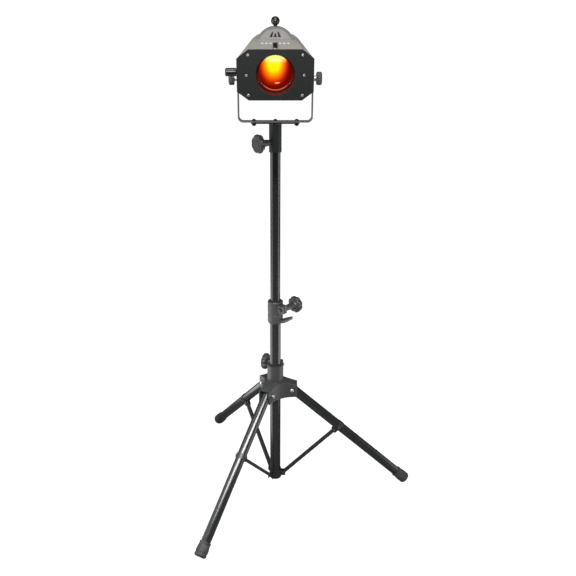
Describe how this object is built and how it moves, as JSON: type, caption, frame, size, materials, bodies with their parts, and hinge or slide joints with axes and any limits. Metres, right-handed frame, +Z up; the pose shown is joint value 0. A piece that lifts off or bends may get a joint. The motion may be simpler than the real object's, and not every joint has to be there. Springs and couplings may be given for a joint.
{
  "type": "follow spot on tripod stand",
  "caption": "Compact follow spot with an octagonal front plate, lever-indexed colour wheel, zoom grip and tilt yoke, on a telescoping folding tripod stand.",
  "frame": {"origin": "the point on the floor directly under the mast's axis, with the tripod standing", "axes": "+Z up along the mast, -Y the way the lens faces with the pan at rest, +X towards the single right-hand leg"},
  "size_m": [0.8045, 0.922, 1.7323],
  "materials": {
    "silver_paint": "satin silver-grey powder coat",
    "hood_paint": "satin mid-grey powder coat",
    "plate_paint": "fine-textured black powder coat",
    "tube_paint": "satin black enamel",
    "brace_paint": "satin black enamel on pressed steel",
    "yoke_paint": "satin grey powder coat",
    "moulded_black": "moulded glass-filled nylon",
    "gloss_black": "polished phenolic",
    "rubber": "moulded rubber",
    "zinc": "bright zinc plating",
    "black_zinc": "black zinc plating",
    "bare_aluminium": "machined",
    "ring_black": "black anodised",
    "lit_glass": "clear optical glass lit amber from behind",
    "clear_glass": "clear optical glass",
    "filter_glass": "dichroic coated glass",
    "led_metal": "emitter on a metal-core board",
    "circuit_board": "green solder mask"
  },
  "bodies": {
    "hub": {"hub_casting": "moulded_black", "hub_bolts": "black_zinc"},
    "hub_knob": {"hub_knob": "moulded_black"},
    "leg_right": {"leg_tube_right": "tube_paint", "foot_cap_right": "rubber", "leg_clip_right": "brace_paint"},
    "brace_right": {"brace_right": "brace_paint"},
    "leg_back": {"leg_tube_back": "tube_paint", "foot_cap_back": "rubber", "leg_clip_back": "brace_paint"},
    "brace_back": {"brace_back": "brace_paint"},
    "leg_front": {"leg_tube_front": "tube_paint", "foot_cap_front": "rubber", "leg_clip_front": "brace_paint"},
    "brace_front": {"brace_front": "brace_paint"},
    "mast": {"lower_tube": "tube_paint", "foot_bracket": "brace_paint", "bracket_bolts": "black_zinc", "mast_collar": "moulded_black", "collar_clamp_bolt": "black_zinc", "mast_bush": "moulded_black"},
    "collar_knob": {"collar_knob": "moulded_black"},
    "upper_mast": {"upper_tube": "tube_paint"},
    "swivel": {"mast_sleeve": "tube_paint", "yoke": "yoke_paint", "yoke_bolts": "black_zinc"},
    "sleeve_knob": {"sleeve_knob": "moulded_black"},
    "tilt_knob_left": {"tilt_knob_left": "moulded_black"},
    "tilt_knob_right": {"tilt_knob_right": "moulded_black"},
    "head": {"front_plate": "plate_paint", "casing_screws": "zinc", "upper_cover": "silver_paint", "lower_tray": "silver_paint", "rear_panel": "silver_paint", "pivot_bosses": "zinc", "lens_shroud": "plate_paint", "guide_rods": "zinc", "gate_plate": "ring_black", "wheel_hood": "hood_paint", "led_module": "led_metal", "heat_sink": "bare_aluminium", "fan_frame": "moulded_black", "power_inlet": "moulded_black", "rear_handle": "black_zinc", "driver_board": "circuit_board"},
    "zoom": {"front_lens": "lit_glass", "zoom_carriage": "bare_aluminium", "lens_ring": "ring_black", "ring_screws": "zinc", "zoom_grip": "gloss_black"},
    "focus": {"focus_lens": "clear_glass", "focus_carriage": "bare_aluminium", "focus_lever": "gloss_black"},
    "colour_wheel": {"colour_wheel": "bare_aluminium", "colour_filters": "filter_glass", "wheel_lever": "black_zinc", "ball_knob": "gloss_black"},
    "fan_rotor": {"fan_rotor": "moulded_black"},
    "rocker_switch": {"rocker_switch": "moulded_black"},
    "dimmer_knob": {"dimmer_knob": "moulded_black"}
  },
  "joints": [
    {"name": "tripod_fold", "type": "slide", "parent": "hub", "child": "mast", "axis": [0, 0, 1], "range_m": [-0.1454, 0]},
    {"name": "leg_right_fold", "type": "hinge", "parent": "hub", "child": "leg_right", "pos_m": [0.062, 0, 0.416], "axis": [0, 1, 0], "range_deg": [0, 43.2]},
    {"name": "brace_right_fold", "type": "hinge", "parent": "leg_right", "child": "brace_right", "pos_m": [0.22798, 0, 0.23406], "axis": [0, 1, 0], "range_deg": [-82.93, 0]},
    {"name": "leg_back_fold", "type": "hinge", "parent": "hub", "child": "leg_back", "pos_m": [-0.031, 0.05369, 0.416], "axis": [-0.866, -0.5, 0], "range_deg": [0, 43.2]},
    {"name": "brace_back_fold", "type": "hinge", "parent": "leg_back", "child": "brace_back", "pos_m": [-0.11399, 0.19743, 0.23406], "axis": [-0.866, -0.5, 0], "range_deg": [-82.93, 0]},
    {"name": "leg_front_fold", "type": "hinge", "parent": "hub", "child": "leg_front", "pos_m": [-0.031, -0.05369, 0.416], "axis": [0.866, -0.5, 0], "range_deg": [0, 43.2]},
    {"name": "brace_front_fold", "type": "hinge", "parent": "leg_front", "child": "brace_front", "pos_m": [-0.11399, -0.19743, 0.23406], "axis": [0.866, -0.5, 0], "range_deg": [-82.93, 0]},
    {"name": "mast_height", "type": "slide", "parent": "mast", "child": "upper_mast", "axis": [0, 0, 1], "range_m": [-0.5, 0.1]},
    {"name": "pan", "type": "hinge", "parent": "upper_mast", "child": "swivel", "pos_m": [0, 0, 1.34], "axis": [0, 0, 1], "continuous": true},
    {"name": "tilt", "type": "hinge", "parent": "swivel", "child": "head", "pos_m": [0, 0, 1.544], "axis": [1, 0, 0], "range_deg": [-55, 45]},
    {"name": "hub_knob_turn", "type": "hinge", "parent": "hub", "child": "hub_knob", "pos_m": [-0.03165, 0.05424, 0.5005], "axis": [-0.9239, 0.3827, 0], "range_deg": [0, 360]},
    {"name": "collar_knob_turn", "type": "hinge", "parent": "mast", "child": "collar_knob", "pos_m": [0.06666, 0.01955, 0.746], "axis": [0.6871, 0.7266, 0], "range_deg": [0, 360]},
    {"name": "sleeve_knob_turn", "type": "hinge", "parent": "swivel", "child": "sleeve_knob", "pos_m": [-0.03998, -0.03002, 1.34], "axis": [-0.7997, -0.6004, 0], "range_deg": [0, 360]},
    {"name": "tilt_knob_left_turn", "type": "hinge", "parent": "swivel", "child": "tilt_knob_left", "pos_m": [-0.123, 0, 1.544], "axis": [-1, 0, 0], "range_deg": [0, 360]},
    {"name": "tilt_knob_right_turn", "type": "hinge", "parent": "swivel", "child": "tilt_knob_right", "pos_m": [0.123, 0, 1.544], "axis": [1, 0, 0], "range_deg": [0, 360]},
    {"name": "zoom_slide", "type": "slide", "parent": "head", "child": "zoom", "axis": [0, 0.9962, 0.0872], "range_m": [-0.012, 0.05]},
    {"name": "focus_slide", "type": "slide", "parent": "head", "child": "focus", "axis": [0, 0.9962, 0.0872], "range_m": [0, 0.05]},
    {"name": "colour_index", "type": "hinge", "parent": "head", "child": "colour_wheel", "pos_m": [0, 0.06757, 1.63223], "axis": [0, 0.9962, 0.0872], "range_deg": [-50, 50]},
    {"name": "fan_spin", "type": "hinge", "parent": "head", "child": "fan_rotor", "pos_m": [0, 0.17384, 1.59936], "axis": [0, 0.9962, 0.0872], "continuous": true},
    {"name": "power_rocker", "type": "hinge", "parent": "head", "child": "rocker_switch", "pos_m": [0.009, 0.20552, 1.57001], "axis": [0, -0.0872, 0.9962], "range_deg": [0, 20]},
    {"name": "dimmer_turn", "type": "hinge", "parent": "head", "child": "dimmer_knob", "pos_m": [0.042, 0.20352, 1.56984], "axis": [0, 0.9962, 0.0872], "range_deg": [0, 270]}
  ],
  "couplings": [
    {"joint": "leg_right_fold", "follows": "tripod_fold", "rad_per_m": -5.1852},
    {"joint": "brace_right_fold", "follows": "tripod_fold", "rad_per_m": 9.9539},
    {"joint": "leg_back_fold", "follows": "tripod_fold", "rad_per_m": -5.1852},
    {"joint": "brace_back_fold", "follows": "tripod_fold", "rad_per_m": 9.9539},
    {"joint": "leg_front_fold", "follows": "tripod_fold", "rad_per_m": -5.1852},
    {"joint": "brace_front_fold", "follows": "tripod_fold", "rad_per_m": 9.9539}
  ]
}
